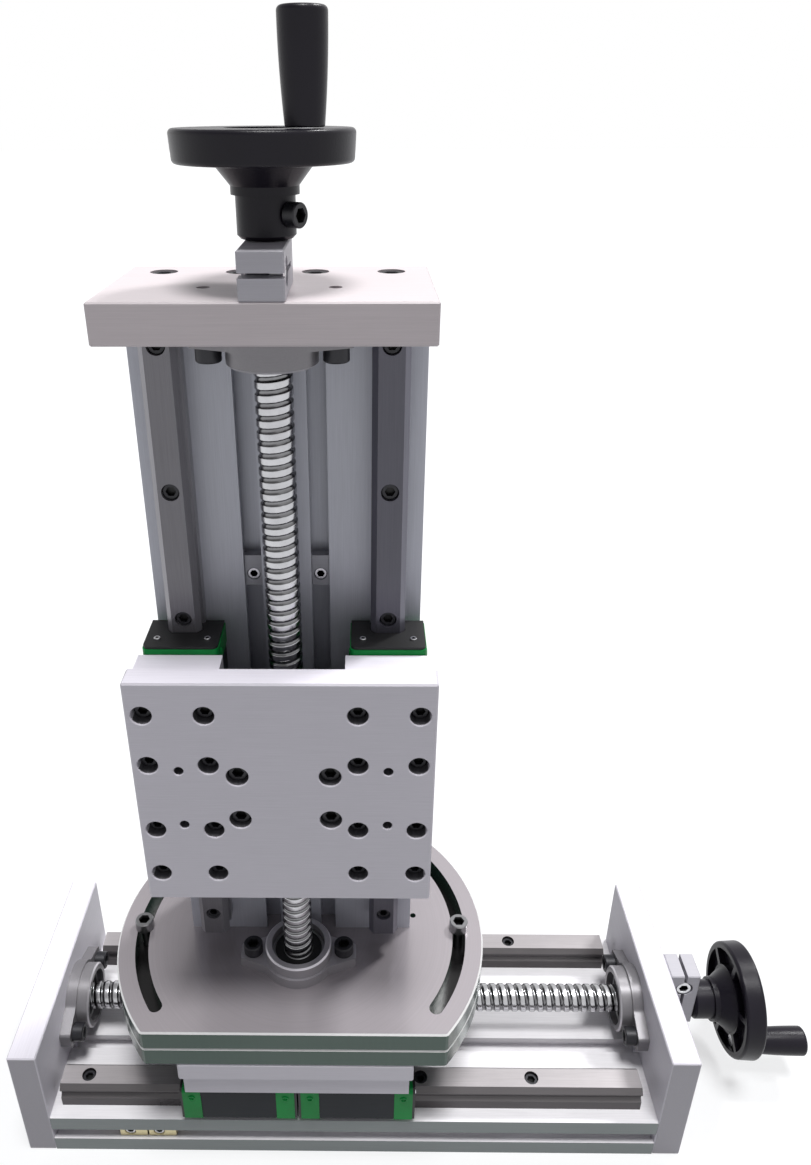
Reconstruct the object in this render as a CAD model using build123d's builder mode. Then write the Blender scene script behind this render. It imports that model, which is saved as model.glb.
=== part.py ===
from build123d import *
from dataclasses import dataclass
import math
import os

# Sizes are in millimetres. +X is the lower travel, -Y faces the operator, +Z is up.
# The origin is on the underside of the base, midway between its end plates.
# Two slide modules of one kind make the table: the base lies along X and the column stands along Z.
# In a module's own frame x runs along the travel, y across it, and z outward from its back.

# Module extrusion, whose width sets how wide everything on it is
module_width = 120.0
seat_height = 27.0
slot_mouth = 8.0
slot_cavity = 14.0
slot_depth = 9.0
slot_lip = 2.5
side_slot_height = seat_height / 2
channel_slot_spacing = 30.0
chamber_width = 12.0
chamber_height = 16.0
chamber_spacing = 62.0

# Profile rails
rail_from_edge = 15.0
rail_spacing = module_width - 2 * rail_from_edge
rail_width = 15.0
rail_height = 15.0
rail_waist = 11.4
rail_crown = 10.4
rail_groove_low = 6.0
rail_groove_high = 11.6
rail_bevel = 2.6
rail_hole_pitch = 60.0
rail_hole_sink = 5.3
rail_hole_head_radius = 3.75

# Runner blocks
runner_width = 34.0
runner_steel_length = 39.4
runner_top_above_seat = 28.0
runner_lift = 4.3
runner_side_relief = 0.8
runner_side_crest = 4.5
runner_hole_spacing = 26.0
runner_hole_depth = 6.0
runner_spread = 62.0
runner_corner = 1.5
cap_length = 9.6
cap_inset = 0.4
cap_corner = 2.5
seal_length = 1.3
seal_inset = 0.8
rail_clearance = 0.3

# Spacer bars and slide plate
plate_overhang = 5.0
plate_length = 120.0
plate_width = module_width + 2 * plate_overhang
plate_thickness = 12.0
spacer_thickness = 13.0
spacer_edge_inset = 2.0
spacer_bracket_gap = 0.5
bracket_runner_gap = 2.0
bracket_width = rail_spacing - runner_width - 2 * bracket_runner_gap
spacer_length = plate_length - 2 * spacer_edge_inset
spacer_width = (plate_width - bracket_width) / 2 - spacer_edge_inset - spacer_bracket_gap
plate_corner = 0.8
plate_sink_radius = 4.5
plate_sink_depth = 8.0
nut_sink_radius = 4.9
plate_hole_chamfer = 0.4
tapped_spacing_across = rail_spacing
tapped_spacing_along = 30.0

# Ball screw, nut and bracket
screw_drop = 20.0
thread_radius = 7.5
journal_radius = 6.0
tail_radius = 5.0
tail_depth_in_wheel = 28.0
nut_radius = 14.0
nut_flange_radius = 24.0
nut_flange_thickness = 10.0
nut_flat_drop = 19.5
nut_bolt_circle = 19.0
bracket_depth = 39.5
bracket_length = 40.0
bracket_hole_across = 40.0
bracket_hole_along = 24.0
bracket_shoulder = 7.0
bracket_corner = 1.0
running_gap = 0.05

# Oval flange bearings
flange_ear_spacing = 48.0
flange_reach = 30.5
flange_ear_end = 4.6
flange_ear_root = 16.2
flange_ear_corner = 1.8
flange_waist_radius = 4.0
flange_boss_radius = 17.5
flange_belly_radius = 18.8
flange_base = 6.0
flange_height = 12.6
flange_chamfer = 0.8
flange_eye_radius = 8.0
bearing_radius = 14.0
bearing_width = 8.0
bearing_floor = 1.0

# End plates and shaft lock
end_plate_height = 76.0
end_plate_thickness = 15.0
end_plate_corner = 0.6
end_screw_spacing = 30.0
end_screw_sink_radius = 5.5
shaft_hole_radius = 7.0
lock_width = 16.0
lock_thickness = 16.5
lock_below_axis = 10.0
lock_slit = 1.8
lock_slit_from_plate = 8.4
lock_screw_below_top = 10.0
lock_screw_sink_radius = 5.0
lock_corner = 0.5

# Handwheel, measured along the axis from the lock block and across it as radii
hub_gap = 0.5
hub_radius = 10.5
hub_chamfer = 1.2
collar_radius = 12.0
collar_length = 2.8
flare_radius = 17.6
flare_length = 7.0
rim_radius = 31.7
rim_thickness = 10.9
rim_corner = 1.6
rim_draft = 0.6
web_recess = 3.5
web_inner_radius = 18.6
web_outer_radius = 27.5
web_rib_width = 3.2
web_rib_count = 6
face_recess = 1.5
face_recess_radius = 13.0
hub_screw_from_collar = 6.2
handle_circle = 24.0
handle_length = 33.6
handle_foot_radius = 6.4
handle_mid_radius = 7.55
handle_top_radius = 7.9
handle_foot_round = 0.6
handle_crown_round = 1.6
handle_gap = 0.4
spindle_radius = 3.0
spindle_in_rim = 8.0
spindle_in_handle = 26.0

# Swivel discs
disc_radius = 100.0
disc_flat = plate_width / 2
disc_thickness = 12.0
disc_edge = 0.8
arc_slot_radius = 87.0
arc_slot_width = 7.0
arc_slot_half_angle = 35.0
pivot_radius = 10.0
pivot_top_gap = 1.0
swivel_gap = 0.05
marker_hole_radius = 1.6
marker_hole_along = 9.0
marker_hole_across = 2.3

# Lengths and places along the two modules
base_length = 326.0
base_carriage_at = 134.0
base_rail_start = 5.0
base_rail_short = 8.0
base_rail_first_hole = 19.4
base_hub_length = 10.9
base_handle_angle = -117.0
base_hub_screw_angle = -27.0
column_length = 334.2
column_carriage_at = 138.4
column_rail_start = 12.5
column_rail_short = 3.2
column_rail_first_hole = 26.5
column_hub_length = 14.4
column_handle_angle = 130.0
column_hub_screw_angle = 145.0
column_back_from_pivot = 27.5

# Slot nuts
nut_length = 14.8
nut_gap = 0.9
nut_body_width = 12.0
nut_body_thickness = 4.0
nut_neck_width = 7.4
nut_neck_short = 1.6
nut_hole_off_centre = 1.8
base_nuts_at = 51.3
column_nuts_at = 222.3
slot_nut_clearance = 0.3

# Heights in a module's own frame
runner_top = seat_height + runner_top_above_seat
spacer_top = runner_top + spacer_thickness
face_height = spacer_top + plate_thickness
screw_height = spacer_top - screw_drop
rail_top = seat_height + rail_height
end_screw_height = seat_height / 2
lock_top = end_plate_height

# Distances along the screw beyond the drive end of the extrusion
lock_end = end_plate_thickness + lock_thickness
hub_start = lock_end + hub_gap


@dataclass
class CapScrew:
    """Socket head cap screw, its thread drawn at the core so that it clears a tapped hole."""

    thread: float
    core: float
    head_radius: float
    head_height: float

    @property
    def clearance_radius(self):
        return self.thread / 2 + 0.25

    @property
    def shank_radius(self):
        return self.core / 2 - 0.05


m4 = CapScrew(thread=4.0, core=3.3, head_radius=3.5, head_height=4.0)
m5 = CapScrew(thread=5.0, core=4.2, head_radius=4.25, head_height=5.0)
m6 = CapScrew(thread=6.0, core=5.0, head_radius=5.0, head_height=6.0)

runner_screw_length = 22.0
rail_screw_length = 16.0
nut_bracket_screw_length = 14.0
nut_flange_screw_length = 18.0
flange_screw_length = 16.0
end_screw_length = 20.0
disc_screw_length = 15.0
clamp_screw_length = 22.0
lock_screw_length = 9.0
hub_screw_length = hub_radius - tail_radius - 2 * running_gap
disc_screw_sink = 6.0
end_screw_sink = 6.5
lock_screw_sink = 5.5
tapped_spare = 1.0


@dataclass
class Module:
    """One slide module: its frame starts where the extrusion starts, on the module's back."""

    name: str
    frame: Plane
    length: float
    carriage_at: float
    rail_start: float
    rail_end: float
    first_hole: float
    hub_length: float
    handle_angle: float
    hub_screw_angle: float
    sides: tuple

    @property
    def collar_start(self):
        return hub_start + self.hub_length

    @property
    def flare_start(self):
        return self.collar_start + collar_length

    @property
    def rim_start(self):
        return self.flare_start + flare_length

    @property
    def rim_end(self):
        return self.rim_start + rim_thickness

    def across(self, along):
        """Plane across the travel: its x is the module's y, its y the module's outward z."""
        origin = self.frame.from_local_coords(Vector(along, 0, 0))
        return Plane(origin=origin, x_dir=self.frame.y_dir, z_dir=self.frame.x_dir)

    def back_across(self, along):
        """The same cut looking the other way, for what points to the extrusion's start."""
        origin = self.frame.from_local_coords(Vector(along, 0, 0))
        return Plane(origin=origin, x_dir=-self.frame.y_dir, z_dir=-self.frame.x_dir)

    def outward(self, height):
        """Plane along the module at a height above its back."""
        return self.frame.offset(height)

    def rail_holes(self):
        """Places of the rail bolts along the travel."""
        count = int((self.rail_end - self.first_hole) / rail_hole_pitch) + 1
        return [self.first_hole + rail_hole_pitch * i for i in range(count)]


base = Module(
    name="x",
    frame=Plane(origin=(-base_length / 2, 0, 0), x_dir=(1, 0, 0), z_dir=(0, 0, 1)),
    length=base_length,
    carriage_at=base_carriage_at,
    rail_start=base_rail_start,
    rail_end=base_length - base_rail_short,
    first_hole=base_rail_first_hole,
    hub_length=base_hub_length,
    handle_angle=base_handle_angle,
    hub_screw_angle=base_hub_screw_angle,
    sides=("front", "back"),
)

swivel_x = -base_length / 2 + base_carriage_at
lower_disc_top = face_height + disc_thickness
upper_disc_top = lower_disc_top + disc_thickness

column = Module(
    name="z",
    frame=Plane(
        origin=(swivel_x, column_back_from_pivot, upper_disc_top),
        x_dir=(0, 0, 1),
        z_dir=(0, -1, 0),
    ),
    length=column_length,
    carriage_at=column_carriage_at,
    rail_start=column_rail_start,
    rail_end=column_length - column_rail_short,
    first_hole=column_rail_first_hole,
    hub_length=column_hub_length,
    handle_angle=column_handle_angle,
    hub_screw_angle=column_hub_screw_angle,
    sides=("right", "left"),
)


def save(piece, label):
    """Name a finished piece and write it."""
    piece.part.label = label
    export_step(piece.part, f"parts/{label}.step")


def add_screws(plane, places, screw, length):
    """Cap screws whose heads stand on the plane and whose shanks go into it."""
    with BuildSketch(plane) as heads:
        with Locations(*places):
            Circle(screw.head_radius)
    extrude(heads.sketch, amount=screw.head_height)
    with BuildSketch(plane) as shanks:
        with Locations(*places):
            Circle(screw.shank_radius)
    extrude(shanks.sketch, amount=-length)


def cut_holes(plane, places, radius, depth):
    """Round holes that go into the plane."""
    with BuildSketch(plane) as holes:
        with Locations(*places):
            Circle(radius)
    extrude(holes.sketch, amount=-depth, mode=Mode.SUBTRACT)


def grid(along, across, centre_along=0.0):
    """The four corners of a rectangle of bolts, lengthwise and crosswise."""
    return [
        (centre_along + i * along / 2, j * across / 2) for i in (-1, 1) for j in (-1, 1)
    ]


def end_row():
    """The row of bolts that hold an end plate or a disc to the extrusion's end."""
    return [((i - 1.5) * end_screw_spacing, end_screw_height) for i in range(4)]


def flange_bolts():
    """The two ear bolts of a flange bearing, in a plane across the screw."""
    return [(i * flange_ear_spacing / 2, screw_height) for i in (-1, 1)]


def runner_bolts(module):
    """The sixteen runner bolts, seen from the slide plate's face."""
    half = runner_hole_spacing / 2
    return [
        (module.carriage_at + i * runner_spread / 2 + k * half, j * rail_spacing / 2 + l * half)
        for i in (-1, 1)
        for j in (-1, 1)
        for k in (-1, 1)
        for l in (-1, 1)
    ]


def nut_bolts():
    """The four bolts of the ball nut's flange, in a plane across the screw."""
    reach = nut_bolt_circle / math.sqrt(2)
    return [(i * reach, screw_height + j * reach) for i in (-1, 1) for j in (-1, 1)]


def build_profile(module):
    """Flat extrusion with a T-slot in each side and two in the channel between the rails."""
    half_width = module_width / 2
    slots = [
        Location((half_width, side_slot_height, 0), (0, 0, -90)),
        Location((-half_width, side_slot_height, 0), (0, 0, 90)),
        Location((channel_slot_spacing / 2, seat_height, 0)),
        Location((-channel_slot_spacing / 2, seat_height, 0)),
    ]
    cavity = slot_depth - slot_lip
    from_mouth = (Align.CENTER, Align.MAX)
    with BuildPart() as profile:
        with BuildSketch(module.across(0)):
            with Locations((0, seat_height / 2)):
                Rectangle(module_width, seat_height)
            with Locations(*slots):
                Rectangle(slot_mouth, slot_depth, align=from_mouth, mode=Mode.SUBTRACT)
                with Locations((0, -slot_lip)):
                    Rectangle(slot_cavity, cavity, align=from_mouth, mode=Mode.SUBTRACT)
            with Locations((0, seat_height / 2)):
                with GridLocations(chamber_spacing, 0, 2, 1):
                    Rectangle(chamber_width, chamber_height, mode=Mode.SUBTRACT)
        extrude(amount=module.length)
        rail_bolts = [(at, i * rail_spacing / 2) for at in module.rail_holes() for i in (-1, 1)]
        rail_bolt_depth = rail_screw_length - (rail_height - rail_hole_sink) + tapped_spare
        cut_holes(module.outward(seat_height), rail_bolts, m4.core / 2, rail_bolt_depth)
        cut_holes(module.across(module.length), end_row(), m6.core / 2, end_screw_length)
        cut_holes(module.back_across(0), end_row(), m6.core / 2, end_screw_length)
    save(profile, f"{module.name}_profile")


def rail_points(clearance):
    """Rail outline from foot to crown: a waist between two ball tracks, and a bevelled crown."""
    foot = rail_width / 2 + clearance
    waist = rail_waist / 2 + clearance
    crown = rail_crown / 2 + clearance
    turn = (rail_width - rail_waist) / 2
    half = [
        (foot, 0),
        (foot, rail_groove_low),
        (waist, rail_groove_low + turn),
        (waist, rail_groove_high - turn),
        (foot, rail_groove_high),
        (foot, rail_height - rail_bevel),
        (crown, rail_height + clearance),
    ]
    return half + [(-y, z) for y, z in reversed(half)]


def build_rails(module):
    """The two profile rails, each with its row of counterbored bolt holes."""
    for side, label in zip((-1, 1), module.sides):
        middle = side * rail_spacing / 2
        with BuildPart() as rail:
            with BuildSketch(module.across(module.rail_start)):
                with Locations((middle, seat_height)):
                    Polygon(*rail_points(0), align=None)
            extrude(amount=module.rail_end - module.rail_start)
            with Locations(module.outward(rail_top)):
                with Locations(*[(at, middle) for at in module.rail_holes()]):
                    CounterBoreHole(m4.clearance_radius, rail_hole_head_radius, rail_hole_sink)
        save(rail, f"{module.name}_rail_{label}")

    with BuildPart() as screws:
        places = [(at, i * rail_spacing / 2) for at in module.rail_holes() for i in (-1, 1)]
        add_screws(module.outward(rail_top - rail_hole_sink), places, m4, rail_screw_length)
    save(screws, f"{module.name}_rail_screws")


def build_end_plate(module, at, label, drive):
    """End plate: counterbored for the extrusion, tapped for the bearing, bored at the drive end."""
    inner = module.across(at)
    outer = inner.offset(end_plate_thickness)
    if not drive:
        inner = module.back_across(at)
        outer = inner.offset(end_plate_thickness)
    with BuildPart() as plate:
        with BuildSketch(inner):
            with Locations((0, end_plate_height / 2)):
                Rectangle(module_width, end_plate_height)
        extrude(amount=end_plate_thickness)
        chamfer(plate.edges(), end_plate_corner)
        cut_holes(outer, end_row(), m6.clearance_radius, end_plate_thickness)
        cut_holes(outer, end_row(), end_screw_sink_radius, end_screw_sink)
        cut_holes(outer, flange_bolts(), m6.core / 2, end_plate_thickness)
        if drive:
            cut_holes(outer, [(0, screw_height)], shaft_hole_radius, end_plate_thickness)
    save(plate, label)
    return outer


def build_end_screws(planes, label):
    """Bolts through the end plates into the ends of the extrusion."""
    with BuildPart() as screws:
        for plane in planes:
            add_screws(plane.offset(-end_screw_sink), end_row(), m6, end_screw_length)
    save(screws, label)


def build_flange(plane, label):
    """Flange bearing housing on the plane: a round belly with two tapered, square-ended ears."""
    middle = (0, screw_height, 0)
    ear = [(flange_reach, flange_ear_end), (0, flange_ear_root), (-flange_reach, flange_ear_end)]
    with BuildPart() as flange:
        with BuildSketch(plane) as outline:
            with Locations(middle):
                Circle(flange_belly_radius)
                Polygon(*ear, *[(-x, -y) for x, y in ear], align=None)
            by_reach = outline.vertices().sort_by_distance(middle)
            fillet(by_reach[-4:], flange_ear_corner)
            fillet(outline.vertices().sort_by_distance(middle)[:4], flange_waist_radius)
        extrude(amount=flange_base)
        with BuildSketch(plane):
            with Locations((0, screw_height)):
                Circle(flange_boss_radius)
        extrude(amount=flange_height)
        rim = plane.offset(flange_height)
        chamfer(flange.faces().sort_by(Axis(plane.origin, plane.z_dir))[-1].edges(), flange_chamfer)
        cut_holes(rim, [(0, screw_height)], bearing_radius, flange_height - bearing_floor)
        cut_holes(rim, [(0, screw_height)], flange_eye_radius, flange_height)
        cut_holes(rim, flange_bolts(), m6.clearance_radius, flange_height)
    save(flange, label)


def build_flanges(module, labels):
    """Both flange bearings of a module, their ball bearings and ear bolts."""
    planes = (module.across(0), module.back_across(module.length))
    for plane, label in zip(planes, labels):
        build_flange(plane, f"{module.name}_flange_{label}")

    with BuildPart() as bearings:
        for plane in planes:
            with BuildSketch(plane.offset(bearing_floor)):
                with Locations((0, screw_height)):
                    Circle(bearing_radius - running_gap)
                    Circle(journal_radius + running_gap, mode=Mode.SUBTRACT)
            extrude(amount=bearing_width)
    save(bearings, f"{module.name}_bearings")

    with BuildPart() as screws:
        for plane in planes:
            add_screws(plane.offset(flange_base), flange_bolts(), m6, flange_screw_length)
    save(screws, f"{module.name}_flange_screws")


def build_lock(module):
    """Shaft lock: a slit block on the end plate, drawn together by a sunk cross screw."""
    foot = module.across(module.length + end_plate_thickness)
    bottom = screw_height - lock_below_axis
    height = lock_top - bottom
    slit_at = module.length + end_plate_thickness + lock_slit_from_plate
    side = Plane(
        origin=module.frame.from_local_coords(Vector(slit_at, -lock_width / 2, lock_top)),
        x_dir=module.frame.x_dir,
        z_dir=-module.frame.y_dir,
    )
    screw_place = [(0, -lock_screw_below_top)]
    with BuildPart() as block:
        with BuildSketch(foot):
            with Locations((0, bottom + height / 2)):
                Rectangle(lock_width, height)
        extrude(amount=lock_thickness)
        chamfer(block.edges(), lock_corner)
        cut_holes(
            foot.offset(lock_thickness), [(0, screw_height)], tail_radius + running_gap, lock_thickness
        )
        with BuildSketch(foot.offset(lock_slit_from_plate)):
            with Locations((0, lock_top)):
                Rectangle(lock_width, lock_top - screw_height, align=(Align.CENTER, Align.MAX))
        extrude(amount=lock_slit / 2, both=True, mode=Mode.SUBTRACT)
        cut_holes(side, screw_place, m5.clearance_radius, lock_width)
        cut_holes(side, screw_place, lock_screw_sink_radius, lock_screw_sink)
    save(block, f"{module.name}_lock_block")

    with BuildPart() as screw:
        add_screws(side.offset(-lock_screw_sink), screw_place, m5, lock_screw_length)
    save(screw, f"{module.name}_lock_screw")


def build_slot_nuts(label, planes):
    """Sliding T-nuts with their set screws, each on a plane that lies in a slot's mouth."""
    with BuildPart() as nuts:
        for plane in planes:
            under_lip = plane.offset(-slot_lip - slot_nut_clearance)
            with BuildSketch(under_lip):
                Rectangle(nut_length, nut_body_width)
            extrude(amount=-nut_body_thickness)
            with BuildSketch(under_lip):
                Rectangle(nut_length, nut_neck_width)
            extrude(amount=slot_lip - nut_neck_short)
            cut_holes(
                plane.offset(-nut_neck_short), [(-nut_hole_off_centre, 0)], m6.thread / 2, slot_lip
            )
    save(nuts, label)


def add_runner_slices(module, starts, length, inset, corner):
    """Slices of both rails' runner blocks, with a channel that follows the rail."""
    low = seat_height + runner_lift
    height = runner_top - low - inset
    for start in starts:
        with BuildSketch(module.across(start)) as outline:
            with GridLocations(rail_spacing, 0, 2, 1):
                with Locations((0, low)):
                    Rectangle(runner_width - 2 * inset, height, align=(Align.CENTER, Align.MIN))
            fillet(outline.vertices().group_by(Axis.Y)[-1], corner)
            with GridLocations(rail_spacing, 0, 2, 1):
                with Locations((0, seat_height)):
                    Polygon(*rail_points(rail_clearance), align=None, mode=Mode.SUBTRACT)
        extrude(outline.sketch, amount=length)


def build_runners(module):
    """Four runner blocks: steel bodies, moulded end caps and end seals, all astride the rails."""
    centres = [module.carriage_at + i * runner_spread / 2 for i in (-1, 1)]
    half = runner_steel_length / 2
    side_height = runner_top_above_seat - runner_lift - runner_side_crest
    flanks = [
        (i * rail_spacing / 2 + j * runner_width / 2, seat_height + runner_lift)
        for i in (-1, 1)
        for j in (-1, 1)
    ]
    with BuildPart() as steel:
        starts = [centre - half for centre in centres]
        add_runner_slices(module, starts, runner_steel_length, 0, runner_corner)
        with BuildSketch(module.across(module.carriage_at)):
            with Locations(*flanks):
                Rectangle(
                    2 * runner_side_relief, side_height, align=(Align.CENTER, Align.MIN)
                )
        extrude(amount=runner_spread, both=True, mode=Mode.SUBTRACT)
        cut_holes(
            module.outward(runner_top), runner_bolts(module), m4.core / 2, runner_hole_depth
        )
    save(steel, f"{module.name}_runners")

    with BuildPart() as caps:
        starts = [centre + side for centre in centres for side in (-half - cap_length, half)]
        add_runner_slices(module, starts, cap_length, cap_inset, cap_corner)
    save(caps, f"{module.name}_runner_caps")

    with BuildPart() as seals:
        far = half + cap_length
        starts = [centre + side for centre in centres for side in (-far - seal_length, far)]
        add_runner_slices(module, starts, seal_length, seal_inset, cap_corner)
    save(seals, f"{module.name}_runner_seals")


def build_carriage(module):
    """Spacer bars, slide plate and the bolts that hold them to the runners."""
    outer_edge = plate_width / 2 - spacer_edge_inset
    with BuildPart() as spacers:
        with BuildSketch(module.outward(runner_top)):
            for side in (-1, 1):
                with Locations((module.carriage_at, side * (outer_edge - spacer_width / 2))):
                    Rectangle(spacer_length, spacer_width)
        extrude(amount=spacer_thickness)
        cut_holes(
            module.outward(spacer_top), runner_bolts(module), m4.clearance_radius, spacer_thickness
        )
    save(spacers, f"{module.name}_spacers")

    face = module.outward(face_height)
    tapped = grid(tapped_spacing_along, tapped_spacing_across, module.carriage_at)
    bracket = grid(bracket_hole_along, bracket_hole_across, module.carriage_at)
    with BuildPart() as plate:
        with BuildSketch(module.outward(spacer_top)):
            with Locations((module.carriage_at, 0)):
                Rectangle(plate_length, plate_width)
        extrude(amount=plate_thickness)
        chamfer(plate.edges(), plate_corner)
        cut_holes(face, runner_bolts(module), m4.clearance_radius, plate_thickness)
        cut_holes(face, runner_bolts(module), plate_sink_radius, plate_sink_depth)
        cut_holes(face, bracket, m5.clearance_radius, plate_thickness)
        cut_holes(face, bracket, nut_sink_radius, plate_sink_depth)
        cut_holes(face, tapped, m5.core / 2, plate_thickness)
        outward = Axis(face.origin, face.z_dir)
        mouths = plate.edges().filter_by(GeomType.CIRCLE).group_by(outward)[-1]
        chamfer(mouths, plate_hole_chamfer)
    save(plate, f"{module.name}_slide_plate")

    with BuildPart() as screws:
        seat = face.offset(-plate_sink_depth)
        add_screws(seat, runner_bolts(module), m4, runner_screw_length)
        add_screws(seat, bracket, m5, nut_bracket_screw_length)
        nut_face = module.across(module.carriage_at + bracket_length / 2 + nut_flange_thickness)
        add_screws(nut_face, nut_bolts(), m5, nut_flange_screw_length)
    save(screws, f"{module.name}_carriage_screws")


def build_nut(module):
    """Nut bracket under the slide plate, and the flanged ball nut bolted into it."""
    bracket_start = module.carriage_at - bracket_length / 2
    bracket_end = module.carriage_at + bracket_length / 2
    bracket_bottom = spacer_top - bracket_depth
    start, end = module.across(bracket_start), module.across(bracket_end)
    with BuildPart() as bracket:
        with BuildSketch(start):
            with Locations((0, spacer_top)):
                Rectangle(bracket_width, bracket_depth, align=(Align.CENTER, Align.MAX))
            for side in (-1, 1):
                with Locations((side * bracket_width / 2, bracket_bottom)):
                    Rectangle(
                        2 * bracket_shoulder, 2 * bracket_shoulder, mode=Mode.SUBTRACT
                    )
        extrude(amount=bracket_length)
        cut_holes(end, [(0, screw_height)], nut_radius + running_gap, bracket_length)
        cut_holes(end, nut_bolts(), m5.core / 2, nut_flange_screw_length)
        cut_holes(
            module.outward(spacer_top),
            grid(bracket_hole_along, bracket_hole_across, module.carriage_at),
            m5.core / 2,
            nut_bracket_screw_length,
        )
    save(bracket, f"{module.name}_nut_bracket")

    with BuildPart() as nut:
        with BuildSketch(start):
            with Locations((0, screw_height)):
                Circle(nut_radius)
        extrude(amount=bracket_length)
        with BuildSketch(end):
            with Locations((0, screw_height)):
                Circle(nut_flange_radius)
                Rectangle(2 * nut_flange_radius, 2 * nut_flat_drop, mode=Mode.INTERSECT)
        extrude(amount=nut_flange_thickness)
        far = end.offset(nut_flange_thickness)
        whole = nut_flange_thickness + bracket_length
        cut_holes(far, [(0, screw_height)], thread_radius + running_gap, whole)
        cut_holes(far, nut_bolts(), m5.clearance_radius, nut_flange_thickness)
    save(nut, f"{module.name}_ball_nut")


def build_screw(module):
    """Ball screw: threaded length between journals, and a long tail for lock and handwheel."""
    thread_start = bearing_floor + bearing_width + running_gap
    thread_length = module.length - 2 * thread_start
    with BuildPart() as screw:
        with BuildSketch(module.across(thread_start)):
            with Locations((0, screw_height)):
                Circle(thread_radius)
        extrude(amount=thread_length)
        with BuildSketch(module.across(bearing_floor)):
            with Locations((0, screw_height)):
                Circle(journal_radius)
        extrude(amount=module.length + end_plate_thickness - 2 * bearing_floor)
        with BuildSketch(module.across(module.length)):
            with Locations((0, screw_height)):
                Circle(tail_radius)
        extrude(amount=hub_start + tail_depth_in_wheel)
    save(screw, f"{module.name}_screw")


def wheel_spot(module, along, angle):
    """Plane across the screw, centred on its axis and turned so that x points at the angle."""
    across = module.across(module.length + along)
    origin = across.from_local_coords(Vector(0, screw_height, 0))
    turn = math.radians(angle)
    towards = across.x_dir * math.cos(turn) + across.y_dir * math.sin(turn)
    return Plane(origin=origin, x_dir=towards, z_dir=across.z_dir)


def build_handwheel(module):
    """Solid moulded handwheel: hub, collar, flare, thick rim and a ribbed recess at its back."""
    towards_handle = module.handle_angle
    foot = wheel_spot(module, 0, towards_handle)
    meridian = Plane(origin=foot.origin, x_dir=foot.x_dir, z_dir=-foot.y_dir)
    axis = Axis(foot.origin, foot.z_dir)
    with BuildPart() as wheel:
        with BuildSketch(meridian):
            with BuildLine():
                Polyline(
                    (0, hub_start),
                    (hub_radius - hub_chamfer, hub_start),
                    (hub_radius, hub_start + hub_chamfer),
                    (hub_radius, module.collar_start),
                    (collar_radius, module.collar_start),
                    (collar_radius, module.flare_start),
                    (flare_radius, module.rim_start),
                    (rim_radius - rim_draft, module.rim_start),
                    (rim_radius, module.rim_end),
                    (face_recess_radius, module.rim_end),
                    (face_recess_radius, module.rim_end - face_recess),
                    (0, module.rim_end - face_recess),
                    (0, hub_start),
                )
            make_face()
        revolve(axis=axis)
        back = wheel_spot(module, module.rim_start, towards_handle)
        rims = [
            edge
            for edge in wheel.edges().filter_by(GeomType.CIRCLE)
            if edge.radius > rim_radius - 2 * rim_draft
        ]
        fillet(rims, rim_corner)
        with BuildSketch(back):
            Circle(web_outer_radius)
            Circle(web_inner_radius, mode=Mode.SUBTRACT)
            for i in range(web_rib_count):
                with Locations(Location((0, 0, 0), (0, 0, (i + 0.5) * 360 / web_rib_count))):
                    Rectangle(
                        rim_radius,
                        web_rib_width,
                        align=(Align.MIN, Align.CENTER),
                        mode=Mode.SUBTRACT,
                    )
        extrude(amount=web_recess, mode=Mode.SUBTRACT)
        bore_depth = tail_depth_in_wheel + tapped_spare
        bore = wheel_spot(module, hub_start + bore_depth, towards_handle)
        cut_holes(bore, [(0, 0)], tail_radius + running_gap, bore_depth)
        front = wheel_spot(module, module.rim_end, towards_handle)
        cut_holes(front, [(handle_circle, 0)], spindle_radius + running_gap, spindle_in_rim)
        cut_holes(hub_side(module), [(0, 0)], m5.core / 2, hub_radius)
    save(wheel, f"{module.name}_handwheel")

    with BuildPart() as screw:
        seat = hub_side(module)
        add_screws(seat, [(0, 0)], m5, hub_screw_length)
    save(screw, f"{module.name}_wheel_screw")


def hub_side(module):
    """Plane that touches the hub's side where its clamp screw goes in."""
    spot = wheel_spot(module, module.collar_start - hub_screw_from_collar, module.hub_screw_angle)
    origin = spot.from_local_coords(Vector(hub_radius, 0, 0))
    return Plane(origin=origin, x_dir=spot.z_dir, z_dir=spot.x_dir)


def build_handle(module):
    """Tapered revolving handle on its spindle, which is fixed in the rim."""
    front = wheel_spot(module, module.rim_end, module.handle_angle)
    centre = front.from_local_coords(Vector(handle_circle, 0, 0))
    meridian = Plane(origin=centre, x_dir=front.x_dir, z_dir=-front.y_dir)
    axis = Axis(centre, front.z_dir)
    with BuildPart() as grip:
        with BuildSketch(meridian):
            with BuildLine():
                Line((0, handle_gap), (handle_foot_radius, handle_gap))
                Spline(
                    (handle_foot_radius, handle_gap),
                    (handle_mid_radius, handle_length / 2),
                    (handle_top_radius, handle_length),
                )
                Line((handle_top_radius, handle_length), (0, handle_length))
                Line((0, handle_length), (0, handle_gap))
            make_face()
        revolve(axis=axis)
        foot_rim, crown_rim = grip.edges().filter_by(GeomType.CIRCLE).sort_by(axis)
        fillet(crown_rim, handle_crown_round)
        fillet(foot_rim, handle_foot_round)
        bore = Plane(origin=centre, x_dir=front.x_dir, z_dir=front.z_dir)
        cut_holes(
            bore.offset(spindle_in_handle + handle_gap),
            [(0, 0)],
            spindle_radius + running_gap,
            spindle_in_handle + handle_gap,
        )
    save(grip, f"{module.name}_handle_grip")

    with BuildPart() as spindle:
        with BuildSketch(bore.offset(-spindle_in_rim)):
            Circle(spindle_radius)
        extrude(amount=spindle_in_rim + spindle_in_handle)
    save(spindle, f"{module.name}_handle_spindle")


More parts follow.
